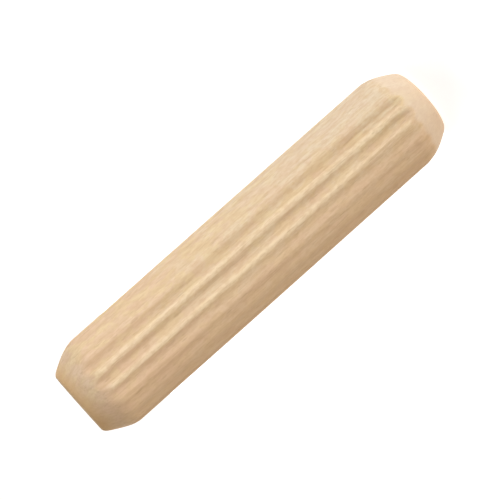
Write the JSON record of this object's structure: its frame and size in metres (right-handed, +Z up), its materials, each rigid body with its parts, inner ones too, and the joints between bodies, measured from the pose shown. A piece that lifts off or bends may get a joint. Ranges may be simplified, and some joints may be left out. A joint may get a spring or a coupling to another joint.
{
  "type": "fluted dowel pin",
  "caption": "Straight wooden dowel pin with lengthwise flutes and a bevel at each end, glued into facing holes to join two boards.",
  "frame": {"origin": "middle of the end face that the pin stands on", "axes": "+Z up along the pin, and +X out through the middle of one flute"},
  "size_m": [0.008, 0.008, 0.035],
  "materials": {
    "wood": "matte"
  },
  "bodies": {
    "root": {"dowel_pin": "wood"}
  },
  "joints": []
}
